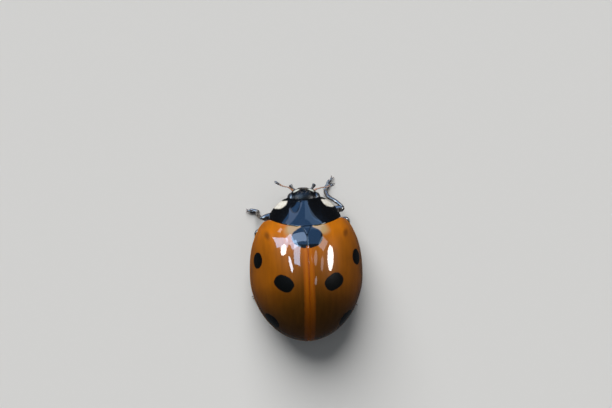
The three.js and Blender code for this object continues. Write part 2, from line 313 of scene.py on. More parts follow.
def pits(tree, scale):
    # 1 between the pits of a shell, falling to 0 in the middle of each
    inputs = {"Vector": millimetres(tree), "Scale": scale, "Randomness": 0.75}
    distance = addNode(tree, "TexVoronoi", inputs, feature="F1").outputs["Distance"]
    return span(tree, distance, 0.06, 0.28)


def attributeValue(tree, name):
    return addNode(tree, "Attribute", attribute_name=name).outputs["Fac"]


def mirroredPlace(tree, wobble):
    # millimetres with x made positive, so that one mark serves both sides, and its x and y;
    # wobble is how far noise shakes the edges of marks
    place = millimetres(tree)
    shake = addNode(tree, "TexNoise", {"Vector": place, "Scale": 3.5, "Detail": 2.0}).outputs["Color"]
    centred = vectorCalc(tree, "SUBTRACT", shake, (0.5, 0.5, 0.5))
    small = vectorCalc(tree, "MULTIPLY", centred, (wobble,) * 3)
    parts = addNode(tree, "SeparateXYZ", {0: vectorCalc(tree, "ADD", place, small)}).outputs
    side = calc(tree, "ABSOLUTE", parts[0])
    whole = addNode(tree, "CombineXYZ", {0: side, 1: parts[1], 2: parts[2]}).outputs[0]
    return whole, side, parts[1]


def ellipseMark(tree, place, centre, radii, turn=0.0, soft=0.08, fullness=2.0):
    # 1 inside |x/rx|^f + |y/ry|^f + |z/rz|^f = 1 about the centre, turned about Z, 0 outside
    inputs = {"Vector": place, "Location": centre, "Scale": radii,
              "Rotation": (0, 0, math.radians(turn))}
    local = addNode(tree, "Mapping", inputs, vector_type="TEXTURE").outputs[0]
    if fullness == 2:
        length = addNode(tree, "VectorMath", {0: local}, operation="LENGTH").outputs["Value"]
    else:
        parts = addNode(tree, "SeparateXYZ", {0: local}).outputs
        powers = [calc(tree, "POWER", calc(tree, "ABSOLUTE", part), fullness) for part in parts]
        total = calc(tree, "ADD", calc(tree, "ADD", powers[0], powers[1]), powers[2])
        length = calc(tree, "POWER", total, 1 / fullness)
    return span(tree, length, 1 + soft, 1 - soft)


def seamMark(tree, side, along, half, soft, start, fill):
    # 1 in a band over the seam that begins at start and runs on the way that fill points
    across = span(tree, side, half + soft, half - soft)
    return calc(tree, "MULTIPLY", across, span(tree, along, start - fill, start + fill))


def setSurface(tree, colour, roughness, coat, coatRoughness, bumps, specular=0.5, coatIor=1.5):
    # bumps are (height from 0 to 1, depth in millimetres, strength), each over the one before
    shader = tree.nodes["Principled BSDF"]
    setInputs(tree, shader, {"Base Color": colour, "Roughness": roughness, "Coat Weight": coat,
                             "Coat Roughness": coatRoughness, "Specular IOR Level": specular,
                             "Coat IOR": coatIor})
    below = {}
    for height, depth, strength in bumps:
        inputs = {"Height": height, "Distance": depth * mm, "Strength": strength, **below}
        below = {"Normal": addNode(tree, "Bump", inputs).outputs[0]}
    setInputs(tree, shader, below)


wingCaseFinish = dict(
    orange=(0.28, 0.083, 0.001),
    # painted light: a brighter orange on the shoulder
    shoulder=(0.42, 0.121, 0.001),
    # painted shade: a dark brown toward the rear
    rear=(0.075, 0.028, 0.001),
    # painted shade: the seam bands darken toward the rear
    seamRearShaded=(0.19, 0.050, 0.001),
    rim=(0.36, 0.19, 0.06),
    cream=(0.36, 0.25, 0.12),
    # a soft darker patch on the shoulder bump
    shoulderDark=(0.12, 0.035, 0.003),
    black=(0.0015, 0.002, 0.002),
    rimLine=0.075,       # width of the pale line on the rim
    pitsPerMillimetre=11.0,
    pitDepth=0.0022,
    roughness=0.38,
    specular=0.04,       # low, so that the dull gloss doesn't grey the colour
    coatRoughness=0.035,
    coatIor=1.36,
)

# bands along the seam, each over the one before: colour, distance from the seam where it starts and
# where it is full, and how much of it shows
seamBands = (
    dict(colour=(0.33, 0.080, 0.001), outer=0.31, inner=0.22, share=0.85),    # glow
    dict(colour=(0.40, 0.115, 0.001), outer=0.21, inner=0.16, share=0.7),     # two brighter stripes
    dict(colour=(0.30, 0.062, 0.001), outer=0.10, inner=0.04, share=0.7),     # redder core
    dict(colour=(0.09, 0.012, 0.001), outer=0.014, inner=0.003, share=0.6),   # fine dark line
)

# marks on one side: centre, half sizes, turn in the plan, softness of the edge and exponent of the
# outline. A half size of 9 ignores height.
frontSpot = dict(centre=(0, -1.25, 3.3), radii=(0.77, 0.52, 9), soft=0.05)
# the front spot's neck up to the shield and the notch behind it: half width, its softness, the y
# where the mark starts and how far it takes to fill, backward or forward
frontNeck = dict(half=0.29, soft=0.04, start=-1.55, fill=-0.05)
rearNotch = dict(half=0.075, soft=0.025, start=-0.85, fill=0.03)
spots = (
    dict(centre=(2.43, -0.14, 2.40), radii=(0.35, 0.40, 0.45), soft=0.06),
    dict(centre=(1.22, 0.95, 3.5), radii=(0.49, 0.375, 9), turn=-35, soft=0.06, fullness=2.4),
    dict(centre=(1.83, 2.87, 2.08), radii=(0.47, 0.41, 0.52), turn=-35, soft=0.06),
)
creamCorner = dict(centre=(0.62, -1.68, 3.0), radii=(0.46, 0.27, 9), turn=20, soft=0.45)
# a soft darker patch on the shoulder bump
shoulderSmudge = dict(centre=(1.92, -1.36, 2.6), radii=(0.12, 0.19, 9), turn=15, soft=0.7)


def makeWingCaseFinish(values):
    finish, tree = newFinish("wingCase")
    place, side, along = mirroredPlace(tree, 0.07)
    patches = noise(tree, 1.1, 2.0)
    streaks = noise(tree, 1.6, 3.0, (3.2, 0.35, 1.0))
    # ground colour with painted light and shade: brighter on the shoulder where the light falls, darker
    # behind, sooner in the middle than on the flanks, where shade falls; with faint lengthwise streaks
    colour = mixColour(tree, span(tree, along, -0.2, -1.7), values["orange"], values["shoulder"])
    # painted shade: the rear and the middle of the back darken, the flanks less
    rearward = calc(tree, "SUBTRACT", along, calc(tree, "MULTIPLY", side, 0.6))
    colour = mixColour(tree, span(tree, rearward, -0.9, 1.9), colour, values["rear"])
    shade = calc(tree, "MULTIPLY", streaks, 0.42)
    shade = calc(tree, "ADD", calc(tree, "MULTIPLY", patches, 0.30), shade)
    shade = span(tree, shade, 0.20, 0.52, 0.80, 1.10)
    grey = addNode(tree, "CombineColor", {0: shade, 1: shade, 2: shade}).outputs[0]
    colour = mixColour(tree, 1.0, colour, grey, "MULTIPLY")
    for band in seamBands:
        # each band fades toward the rear into painted shade
        tint = mixColour(tree, span(tree, along, 0.4, 3.2), band["colour"], values["seamRearShaded"])
        shown = span(tree, side, band["outer"], band["inner"], 0.0, band["share"])
        colour = mixColour(tree, shown, colour, tint)
    rimLine = span(tree, attributeValue(tree, "fromRim"), values["rimLine"], 0.02, 0.0, 0.6)
    colour = mixColour(tree, rimLine, colour, values["rim"])
    cream = calc(tree, "MULTIPLY", ellipseMark(tree, place, **creamCorner), 0.95)
    colour = mixColour(tree, cream, colour, values["cream"])
    # a soft darker patch on the shoulder bump
    shoulderDark = calc(tree, "MULTIPLY", ellipseMark(tree, place, **shoulderSmudge), 0.75)
    colour = mixColour(tree, shoulderDark, colour, values["shoulderDark"])
    black = ellipseMark(tree, place, **frontSpot)
    black = calc(tree, "MAXIMUM", black, seamMark(tree, side, along, **frontNeck))
    black = calc(tree, "SUBTRACT", black, seamMark(tree, side, along, **rearNotch))
    for spot in spots:
        black = calc(tree, "MAXIMUM", black, ellipseMark(tree, place, **spot))
    colour = mixColour(tree, black, colour, values["black"])
    # the coat thins along the seam behind the front spot
    coat = span(tree, side, 0.06, 0.15, 0.12, 1.0)
    coat = calc(tree, "MAXIMUM", coat, span(tree, along, -0.72, -0.80))
    waves = noise(tree, 2.2, 2.0, (1, 0.6, 1))
    dots = pits(tree, values["pitsPerMillimetre"])
    setSurface(tree, colour, values["roughness"], coat, values["coatRoughness"],
               ((waves, 0.006, 0.5), (dots, values["pitDepth"], 0.7)), values["specular"],
               values["coatIor"])
    return finish


shellFinish = dict(
    black=(0.002, 0.0022, 0.003),
    white=(0.62, 0.61, 0.57),
    whiteShade=(0.52, 0.49, 0.42),
    pale=(0.46, 0.49, 0.46),
    pitsPerMillimetre=14.0,
    pitDepth=0.0020,
    roughness=0.32,
    specular=0.05,
    coatIor=1.36,
    shieldCoat=1.0,
    shieldCoatRoughness=0.05,
    headCoat=0.2,
    headCoatRoughness=0.36,
)


def makeShieldFinish(values):
    # black, with a white mark at each front corner, cut off short of the front edge
    finish, tree = newFinish("neckShield")
    place, _, along = mirroredPlace(tree, 0.10)
    white = ellipseMark(tree, place, (1.36, -3.17, 1.7), (0.57, 0.55, 9.0), soft=0.05)
    white = calc(tree, "MULTIPLY", white, span(tree, along, -3.02, -2.96))
    grain = noise(tree, 9.0, 3.0)
    paper = mixColour(tree, span(tree, grain, 0.35, 0.7), values["white"], values["whiteShade"])
    setShell(tree, mixColour(tree, white, values["black"], paper), values, "shield")
    return finish


def setShell(tree, colour, values, part):
    # one gloss with long low waves and pits; only the coat differs from part to part
    waves = noise(tree, 2.6, 3.0)
    dots = pits(tree, values["pitsPerMillimetre"])
    setSurface(tree, colour, values["roughness"], values[part + "Coat"], values[part + "CoatRoughness"],
               ((waves, 0.012, 0.6), (dots, values["pitDepth"], 0.7)), values["specular"],
               values["coatIor"])


def makeHeadFinish(values):
    # black with two pale marks between the eyes and pale corners on the plate over the mouth
    finish, tree = newFinish("head")
    place = mirroredPlace(tree, 0.05)[0]
    pale = ellipseMark(tree, place, (0.36, -3.46, 1.69), (0.165, 0.30, 0.10), soft=0.14)
    corner = ellipseMark(tree, place, (0.33, -3.5, 1.06), (0.10, 0.4, 0.07), soft=0.25)
    marks = calc(tree, "MAXIMUM", pale, calc(tree, "MULTIPLY", corner, 0.6))
    setShell(tree, mixColour(tree, marks, values["black"], values["pale"]), values, "head")
    return finish


def makeUndersideFinish(values):
    # dull black with fine wrinkles; a white plate shows below each shoulder
    finish, tree = newFinish("underside")
    place = mirroredPlace(tree, 0.08)[0]
    plate = ellipseMark(tree, place, (1.92, -1.30, 1.35), (0.42, 0.24, 9.0), 18, 0.12)
    grain = noise(tree, 12.0, 4.0)
    dark = mixColour(tree, grain, values["black"], (0.012, 0.010, 0.009))
    setSurface(tree, mixColour(tree, plate, dark, (0.62, 0.58, 0.48)), 0.42, 0.25, 0.2,
               ((grain, 0.006, 0.8), (pits(tree, 16.0), 0.004, 0.8)))
    return finish


def makePlainFinish(name, dark, light, scale, roughness, coat, depth):
    # two tones by noise, and a fine bump from the same noise
    finish, tree = newFinish(name)
    grain = noise(tree, scale, 4.0)
    colour = mixColour(tree, span(tree, grain, 0.3, 0.7), dark, light)
    setSurface(tree, colour, roughness, coat, 0.08, ((grain, depth, 0.8),))
    return finish


def makeFeelerFinish():
    # red-brown, darkening over the club: the attribute toTip goes from 0 at the head to 1
    finish, tree = newFinish("feeler")
    grain = noise(tree, 14.0, 3.0)
    brown = mixColour(tree, grain, (0.30, 0.12, 0.035), (0.46, 0.20, 0.07))
    club = span(tree, attributeValue(tree, "toTip"), 0.70, 0.86)
    colour = mixColour(tree, club, brown, (0.030, 0.016, 0.009))
    setSurface(tree, colour, 0.38, 0.5, 0.1, ((grain, 0.003, 0.8),))
    return finish


finishes = dict(
    wingCase=makeWingCaseFinish(wingCaseFinish),
    shield=makeShieldFinish(shellFinish),
    head=makeHeadFinish(shellFinish),
    underside=makeUndersideFinish(shellFinish),
    leg=makePlainFinish("leg", (0.006, 0.005, 0.006), (0.022, 0.015, 0.012), 9.0, 0.30, 0.8, 0.004),
    foot=makePlainFinish("foot", (0.010, 0.008, 0.007), (0.045, 0.026, 0.016), 12.0, 0.38, 0.4, 0.003),
    claw=makePlainFinish("claw", (0.07, 0.028, 0.012), (0.16, 0.06, 0.02), 12.0, 0.25, 0.6, 0.001),
    pad=makePlainFinish("pad", (0.17, 0.13, 0.08), (0.28, 0.22, 0.14), 30.0, 0.7, 0.0, 0.004),
    eye=makePlainFinish("eye", (0.008, 0.010, 0.013), (0.024, 0.024, 0.025), 5.0, 0.36, 0.25, 0.0004),
    feeler=makeFeelerFinish(),
    paleHair=makePlainFinish("paleHair", (0.24, 0.20, 0.16), (0.42, 0.36, 0.29), 8.0, 0.45, 0.0, 0.0),
    darkHair=makePlainFinish("darkHair", (0.10, 0.075, 0.05), (0.20, 0.16, 0.11), 8.0, 0.45, 0.0, 0.0),
)
print("finishes made:", len(finishes))


# wing cases

wingCase = dict(
    topZ=3.9,
    halfWidth=2.76,
    middleY=0.66,        # widest line across
    frontReach=3.38,
    rearReach=3.34,
    frontFullness=2.4,   # exponents of the plan curve
    rearFullness=1.95,
    fullnessChange=1.2,  # the one passes into the other over this much on both sides of middleY
    rimLowZ=1.2,
    rimRise=0.4,         # extra height of the rim at the shoulder
    shoulderY=-1.98,     # where the rounded shoulder reaches the rim
    shoulderTightness=12,
    seamHalfGap=0.002,
    lastTurn=0.985 * math.pi / 2,
    wall=0.12,
    foldShoulder=0.55,   # width of the turned-under edge at the shoulder
    foldRear=0.10,
    foldRise=0.10,
    foldSag=0.035,
    bead=0.032,          # relief of the surface: the rim's bead and the gutter beside it
    gutter=0.020,
    seamRidge=0.010,
    shoulderBump=0.055,
    bumpX=1.93,
    bumpY=-1.42,
    frontDip=0.06,       # the front edge dips under the shield
    scutellumBed=0.05,
    rows=200, columns=116,   # from the seam to the rim, and as many back along the inside
)

shield = dict(
    halfWidth=1.77,
    rearY=-1.8,
    rearBow=0.356,
    frontY=-3.05,
    frontBow=0.07,
    frontHalf=0.8,
    sideFullness=1.45,
    frontZ=2.3,
    cornerZ=1.6,
    edgeFall=5.5,
    crown=0.2,
    thickness=0.15,
    rearLap=0.05,        # laps over the wing cases' front edge
    rearThinning=0.4,
    bead=0.010,
    rows=150, columns=70,
)

scutellum = dict(halfWidth=0.21, length=0.42, depth=0.22)


def rimHeight(y):
    # level along the flank, climbing with the square of the way forward
    case = wingCase
    return case["rimLowZ"] + case["rimRise"] * np.square(np.clip((0.8 - y) / 2.95, 0, None))


def planSize(y, inset):
    case = wingCase
    change = case["fullnessChange"]
    rearward = smoothStep(case["middleY"] - change, case["middleY"] + change, y)
    fullness = blend(case["frontFullness"], case["rearFullness"], rearward)
    reach = np.where(y > case["middleY"], case["rearReach"], case["frontReach"]) - inset
    return case["halfWidth"] - inset, reach, fullness


def caseHalfWidth(y, inset=0.0):
    # halfWidth (1 - |y/reach|^n)^(1/n)
    halfWidth, reach, fullness = planSize(y, inset)
    along = np.clip(np.abs(y - wingCase["middleY"]) / reach, 0, 1)
    return halfWidth * np.power(np.clip(1 - along ** fullness, 0, None), 1 / fullness)


def domeHeight(x, y, inset=0.0):
    # rim + (top - rim) sqrt(1 - o^2), with o = (|x/w|^n + |y/reach|^n)^(1/n)
    halfWidth, reach, fullness = planSize(y, inset)
    across = (np.abs(x) / halfWidth) ** fullness
    along = (np.abs(y - wingCase["middleY"]) / reach) ** fullness
    outward = np.clip((across + along) ** (1 / fullness), 0, 1)
    rim = rimHeight(y)
    return blend(rim, wingCase["topZ"] - inset, np.sqrt(1 - outward ** 2))


def shieldArc(x):
    return shield["rearY"] - shield["rearBow"] * np.square(x / shield["halfWidth"])


def foldWidth(y):
    return blend(wingCase["foldShoulder"], wingCase["foldRear"], smoothStep(-1.2, 3.5, y))


def caseRelief(x, y, fromRim):
    # how far the surface rises or sinks; each feature is a hump or a step about its own line
    case = wingCase
    fromFront = y - shieldArc(x)
    rim = case["bead"] * hump(fromRim, 0.05) - case["gutter"] * hump(fromRim - 0.15, 0.07)
    fromBump = np.hypot(x - case["bumpX"], (y - case["bumpY"]) * 0.8)
    dip = smoothStep(0.07, 0.0, fromFront) * smoothStep(0.3, 0.5, x) * smoothStep(1.9, 1.6, x)
    bedHalf = scutellum["halfWidth"] * (1 - (y - shield["rearY"]) / scutellum["length"])
    return (rim * smoothStep(0.05, 0.40, fromFront) + case["seamRidge"] * hump(x, 0.15)
            + case["shoulderBump"] * hump(fromBump, 0.30) - case["frontDip"] * dip
            - case["scutellumBed"] * smoothStep(0.03, -0.02, x - bedHalf))


def makeWingCase():
    # rows go from the front edge to the tip by a sine along the plan curve, columns from the seam to
    # the rim by a quarter sine. The front edge follows the shield's arc and curves back at the
    # shoulder; rows behind it do the same, less and less.
    case = wingCase
    middleY, frontY = case["middleY"], case["shoulderY"]
    firstTurn = -math.asin((middleY - frontY) / case["frontReach"])
    turn = np.linspace(firstTurn, case["lastTurn"], case["rows"])[:, None]
    rimY = middleY + np.where(turn > 0, case["rearReach"], case["frontReach"]) * np.sin(turn)
    rimX = caseHalfWidth(rimY)
    tipY = middleY + case["rearReach"]
    forward = np.square((tipY - rimY) / (tipY - frontY))
    arcEndY = shieldArc(caseHalfWidth(frontY))
    out = np.sin(np.linspace(0, np.pi / 2, case["columns"]))[None, :]
    x = blend(case["seamHalfGap"], rimX, out)
    y = rimY + forward * ((shield["rearY"] - arcEndY) * (1 - out ** 2)
                          - (frontY - arcEndY) * (1 - out ** case["shoulderTightness"]))
    skin = np.stack([x, y, domeHeight(x, y)], -1)
    fromRim = skin[..., 2] - rimHeight(y)
    normal = surfaceNormals(skin)
    skin += normal * caseRelief(x, y, fromRim)[..., None]
    # inside: the turned-under edge, then the wall's inner face back to the seam
    folds = 14
    inner = case["columns"] - folds
    edge = skin[:, -1:, :]
    inward = unit(normal[:, -1:, :] * (1, 1, 0))
    share = np.linspace(0.02, 1, folds)[None, :, None]
    width = foldWidth(edge[..., 1:2])
    width = np.minimum(width, 0.8 * np.maximum(edge[..., 0:1] - case["seamHalfGap"], 0.01))
    fold = edge - inward * width * share
    fold[..., 2:] += case["foldRise"] * share * width / case["foldShoulder"]
    fold[..., 2:] -= case["foldSag"] * np.sqrt(share * (1 - share))
    fold[..., 0] = np.maximum(fold[..., 0], case["seamHalfGap"])
    back = np.linspace(case["columns"] - 6, 0, inner).astype(int)
    inside = skin[:, back, :] - normal[:, back, :] * case["wall"]
    inside[..., 0] = np.maximum(inside[..., 0], case["seamHalfGap"])
    # fromRim goes with the points for the pale line; on the inner faces it is simply large
    rings = [(skin, fromRim), (fold, np.full(fold.shape[:2], 0.3)),
             (inside, np.full(inside.shape[:2], 1.0))]
    rings = [np.concatenate([points, value[..., None]], -1) for points, value in rings]
    return foldedRings(np.concatenate(rings, 1))


leftCase = makeWingCase()
for side, shape in (("left", leftCase), ("right", mirrored(leftCase))):
    makePiece("wing_case_" + side, shape, "wingCase", ("elytron_" + side,), ("fromRim",))
print("wing cases made")


# neck shield and scutellum

def shieldFrontEdge(x):
    # a shallow hollow between the front angles, then a superellipse out to the rear corner
    values = shield
    across = np.abs(x)
    cornerY = values["rearY"] - values["rearBow"]
    hollow = values["frontY"] - values["frontBow"] * np.square(across / values["frontHalf"])
    share = np.clip((across - values["frontHalf"]) / (values["halfWidth"] - values["frontHalf"]), 0, 1)
    depth = cornerY - (values["frontY"] - values["frontBow"])
    fullness = values["sideFullness"]
    side = cornerY - depth * np.power(np.clip(1 - share ** fullness, 0, None), 1 / fullness)
    return np.where(across < values["frontHalf"], hollow, side)


def shieldEdgeHeight(x):
    # corner + (front - corner) (1 - (x / halfWidth)^2)^k
    values = shield
    share = np.clip(1 - np.square(x / values["halfWidth"]), 0, 1)
    return blend(values["cornerZ"], values["frontZ"], share ** values["edgeFall"])


def shieldHeight(x, y):
    # from the front edge's height up to the wing cases along the rear arc, part straight, part round
    frontY = shieldFrontEdge(x)
    share = np.clip((y - frontY) / np.maximum(shieldArc(x) - frontY, 1e-6), 0, 1)
    rounded = 1 - np.square(1 - share)
    rise = blend(share, rounded, shield["crown"])
    return blend(shieldEdgeHeight(x), domeHeight(x, shieldArc(x)), rise)


def makeShield():
    # each row is a loop from the front edge over the top to the rear arc and back underneath; the
    # wall thins to the rear and is an ellipse's edge at the outline, with a fine bead beside it
    values = shield
    x = values["halfWidth"] * 0.999 * crowded(values["rows"])[:, None]
    share = crowdedShare(values["columns"])[None, :]
    frontY, rearY = shieldFrontEdge(x), shieldArc(x) + values["rearLap"]
    y = blend(frontY, rearY, share)
    x = x * np.ones_like(share)
    slope = np.abs(np.gradient(frontY[:, 0], x[:, 0]))[:, None]
    fromFront = (y - frontY) / np.sqrt(1 + np.minimum(slope, 8) ** 2)
    fromEdge = np.minimum(fromFront, 2 * (rearY - y))
    rounding = np.sqrt(1 - np.square(1 - np.clip(fromEdge / 0.07, 0, 1)))
    sideBead = values["bead"] * hump(fromFront - 0.075, 0.035)
    z = shieldHeight(x, y)
    thinning = blend(values["rearThinning"], 1, smoothStep(0.03, 0.17, rearY - y))
    half = values["thickness"] / 2 * thinning
    upper = np.stack([x, y, z - half * (1 - rounding) + sideBead], -1)
    lower = np.stack([x, y, z - half * (1 + rounding)], -1)
    rings = np.concatenate([upper, lower[:, -2:0:-1]], 1)
    return closedRings(rings[::-1])


def makeScutellum():
    # a triangle that narrows as its straight sides run back, slightly raised along the middle
    values = scutellum
    along, turn = np.linspace(0, 1, 26)[:, None], fullTurn(40)[None, :]
    half = values["halfWidth"] * (1 - along) + 0.004
    x = half * np.cos(turn)
    y = blend(shield["rearY"] + 0.01, shield["rearY"] + values["length"], along) + 0 * turn
    lift = np.where(np.sin(turn) > 0, 0.012, -values["depth"]) * np.abs(np.sin(turn)) ** 0.5
    z = domeHeight(x, y) - 0.035 + lift * (1 - 0.6 * along)
    return closedRings(np.stack([x, y, z], -1)[::-1])


makePiece("neck_shield", makeShield(), "shield", ("pronotum",))
makePiece("scutellum_plate", makeScutellum(), "shield", ("scutellum",))
print("neck shield made")


# underside

belly = dict(
    lowZ=0.84,
    frontY=-1.74,
    waistY=0.12,
    endY=3.76,
    breastZ=0.94,
    breastFrontInset=0.16,
    plateStep=0.035,
    plateEdges=(0.12, 0.98, 1.62, 2.2, 2.72, 3.2, 3.76),
    coxaHollow=0.08,
    coxaPlaces=((0.62, -1.38), (0.52, -0.06)),
    swelling=0.035,      # between the coxae
    crossSuture=0.030,
    middleSuture=0.018,
    flankSuture=0.028,
    cornerSuture=0.026,
    thighLine=0.02,
)


def bellyHalfWidth(y):
    return np.maximum(caseHalfWidth(y) - foldWidth(y) + 0.02, 0.02)


def bellyHeight(x, y):
    # flat in the middle, rising with the cube of the way out to the wing cases' folded edge
    across = np.clip(np.abs(x) / bellyHalfWidth(y), 0, 1)
    edge = rimHeight(y) + 0.04
    tipward = smoothStep(2.4, 3.9, y)
    low = blend(belly["lowZ"], rimHeight(y) - 0.06, tipward)
    return blend(low, edge, across ** 3)


def trunkShape(frontY, rearY, rows, columns, relief):
    # a row is a loop: the belly from side to side, then a plain line back under the wing cases
    y = blend(frontY, rearY, np.sin(np.linspace(0, np.pi / 2, rows)))[:, None]
    across = crowded(columns)[None, :]
    x = bellyHalfWidth(y) * across
    y = y * np.ones_like(x)
    lift = 0.9 * np.sqrt(np.clip(1 - across ** 2, 0, None)) * bellyHalfWidth(y) / 2.2
    rings = sheetPair(x, y, bellyHeight(x, y) + relief(x, y), rimHeight(y) + 0.06 + lift)
    return foldedRings(rings[:, ::-1])


def thoraxRelief(x, y):
    # sutures: across between the plates, along the middle, and beside each flank plate; hollows that
    # the coxae sit in, and a swelling between them
    half = bellyHalfWidth(y)
    side = np.abs(x)
    relief = belly["crossSuture"] * hump(y + 1.12 - 0.10 * side, 0.035)
    relief += belly["middleSuture"] * hump(x, 0.03) * smoothStep(-1.0, -0.7, y)
    relief += belly["flankSuture"] * hump(side - 0.72 * half, 0.035) * smoothStep(-1.15, -1.0, y)
    corner = hump(y + 0.86 - 0.55 * (side - 1.3), 0.03) * smoothStep(1.1, 1.3, side)
    relief += belly["cornerSuture"] * corner
    for coxaX, coxaY in belly["coxaPlaces"]:
        relief += belly["coxaHollow"] * hump(np.hypot(side - coxaX, y - coxaY), 0.24)
    return relief - belly["swelling"] * hump(x, 0.30) * hump(y + 0.6, 0.6)


def abdomenRelief(x, y):
    # each plate sinks a step at its rear edge, where the next one slides under it
    bowed = y + 0.16 * np.square(x / 2.2)
    relief = np.zeros_like(x)
    for start, end in zip(belly["plateEdges"][:-1], belly["plateEdges"][1:]):
        share = (bowed - start) / (end - start)
        step = smoothStep(0.0, 0.10, share) * (1 - share)
        relief = np.where((share >= 0) & (share < 1), -belly["plateStep"] * step, relief)
    # a curved line behind each thigh
    out = (np.abs(x) - 0.75) / 0.5
    line = belly["thighLine"] * hump(y - 0.35 - 0.45 * (1 - np.square(out)), 0.025)
    return relief + np.where(np.abs(out) < 1, line, 0)


def makeBreast():
    # front segment's underside: from the keel between the front legs up to the shield's edge
    across = crowded(90)[:, None]
    x = shield["halfWidth"] * 0.955 * across
    share = np.linspace(0, 1, 60)[None, :]
    frontY = shieldFrontEdge(x) + belly["breastFrontInset"] * (1 - np.abs(across) ** 4)
    rearY = shieldArc(x) - 0.06
    y = blend(frontY, np.maximum(rearY, frontY + 0.002), share)
    x = x * np.ones_like(share)
    across = across * np.ones_like(share)
    topZ = shieldHeight(x, y) - shield["thickness"] - 0.01
    hollow = np.abs(across) ** 2.2
    lowZ = blend(belly["breastZ"] + 0.12 * (1 - share), topZ - 0.03, hollow)
    lowZ += 0.05 * hump(np.hypot(np.abs(x) - 0.42, y + 2.36), 0.22)
    lowZ -= 0.03 * hump(x, 0.10) * smoothStep(-2.9, -2.5, y)
    lowZ += 0.02 * hump(np.abs(x) - 0.78 - 0.2 * share, 0.03)
    lowZ = np.minimum(lowZ, topZ - 0.005)
    return foldedRings(sheetPair(x, y, lowZ, topZ))


thorax = trunkShape(belly["frontY"], belly["waistY"], 90, 160, thoraxRelief)
abdomen = trunkShape(belly["waistY"], belly["endY"], 150, 160, abdomenRelief)
makePiece("underside_thorax", thorax, "underside", ("thorax",))
makePiece("underside_abdomen", abdomen, "underside", ("abdomen",))
makePiece("underside_breast", makeBreast(), "shield", ("prothorax",))
print("underside made")


# head

head = dict(
    centre=np.array([0, -2.98, 1.46]),
    radii=np.array([0.735, 0.585, 0.62]),
    fullness=2.25,
    plate=0.055,         # how far the plate over the mouth stands out
    brow=0.022,
    socket=0.050,        # hollow that the feeler sits in, and the rim round it
    socketRim=0.020,
    cheekHollow=0.016,
    middleGroove=0.010,
    eyeRim=0.018,
    cheekNarrowing=0.22,
    rows=150, sides=210,
)

eye = dict(
    centre=np.array([0.615, -3.08, 1.56]),
    radii=np.array([0.20, 0.27, 0.30]),
    facets=1300,
    facetHeight=0.005,
    rows=120, sides=220,
)


def faceRelief(points, ray):
    # forward push on the face: the plate over the mouth, brow ridges, feeler sockets and eye rims
    side, z = np.abs(points[..., 0]), points[..., 2]
    facing = smoothStep(-0.25, -0.6, ray[..., 1])
    halfPlate = 0.36 + 0.35 * np.clip(z - 0.98, 0, 1)
    plate = smoothStep(0.03, -0.03, side - halfPlate) * smoothStep(0.90, 0.96, z)
    plate = plate * smoothStep(1.24, 1.17, z)
    fromSocket = np.hypot(side - 0.50, z - 1.37)
    push = head["plate"] * plate
    push += head["brow"] * hump(np.hypot(side - 0.46, z - 1.50), 0.10)
    push -= head["socket"] * hump(fromSocket, 0.055)
    push += head["socketRim"] * hump(fromSocket - 0.085, 0.025)
    push -= head["cheekHollow"] * hump(np.hypot(side - 0.22, (z - 1.42) * 0.6), 0.09)
    push -= head["middleGroove"] * hump(side, 0.04) * smoothStep(1.25, 1.5, z)
    points = points.copy()
    points[..., 1] -= push * facing
    # a raised rim round the eye
    local = np.stack([side, points[..., 1], points[..., 2]], -1) - eye["centre"]
    ring = hump(np.linalg.norm(local / eye["radii"], axis=-1) - 1.10, 0.10)
    points += ray * (head["eyeRim"] * ring)[..., None]
    # cheeks draw in below, where the jaws lie
    points[..., 0] *= 1 - head["cheekNarrowing"] * smoothStep(1.25, 0.9, z)
    return points


def makeEye(values):
    # an ellipsoid whose every facet is a low dome: height (1 - (nearest centre / spacing)^2)
    count = values["facets"]
    index = np.arange(count) + 0.5
    height = 1 - 2 * index / count
    spin = np.pi * (1 + math.sqrt(5)) * index
    ring = np.sqrt(1 - height ** 2)
    lens = np.stack([ring * np.cos(spin), ring * np.sin(spin), height], -1) * values["radii"]
    spacing = 0.62 * math.sqrt(4 * math.pi * 0.25 ** 2 / count)

    def toLens(places):
        # |a - b|^2 = |a|^2 + |b|^2 - 2 a.b, least over all the lenses
        squares = (places ** 2).sum(1)[:, None] + (lens ** 2).sum(1) - 2 * places @ lens.T
        return np.sqrt(np.maximum(squares, 0)).min(1)

    def addFacets(points, ray):
        flat = (points - values["centre"]).reshape(-1, 3)
        nearest = np.concatenate([toLens(places) for places in np.array_split(flat, 12)])
        dome = 1 - np.clip(nearest / spacing, 0, 1) ** 2
        return points + ray * (values["facetHeight"] * dome).reshape(points.shape[:2])[..., None]

    return roundShape(values["centre"], values["radii"], 2.0, values["rows"], values["sides"], addFacets)


skull = roundShape(head["centre"], head["radii"], head["fullness"], head["rows"], head["sides"],
                   faceRelief)
makePiece("head_capsule", skull, "head", ("head",))
leftEye = makeEye(eye)
for side, shape in (("left", leftEye), ("right", mirrored(leftEye))):
    makePiece("compound_eye_" + side, shape, "eye", ("eye_" + side,))


def labrumChange(points, ray):
    # the front edge is notched in the middle and thins downward
    moved = points.copy()
    moved[..., 2] += 0.035 * hump(points[..., 0], 0.07) * smoothStep(0.0, -0.7, ray[..., 2])
    moved[..., 1] += 0.05 * smoothStep(0.2, -1.0, ray[..., 2])
    return moved


labrumShape = roundShape((0, -3.475, 0.955), (0.30, 0.10, 0.115), 2.6, 48, 80, labrumChange)
makePiece("upper_lip", labrumShape, "foot", ("labrum",))

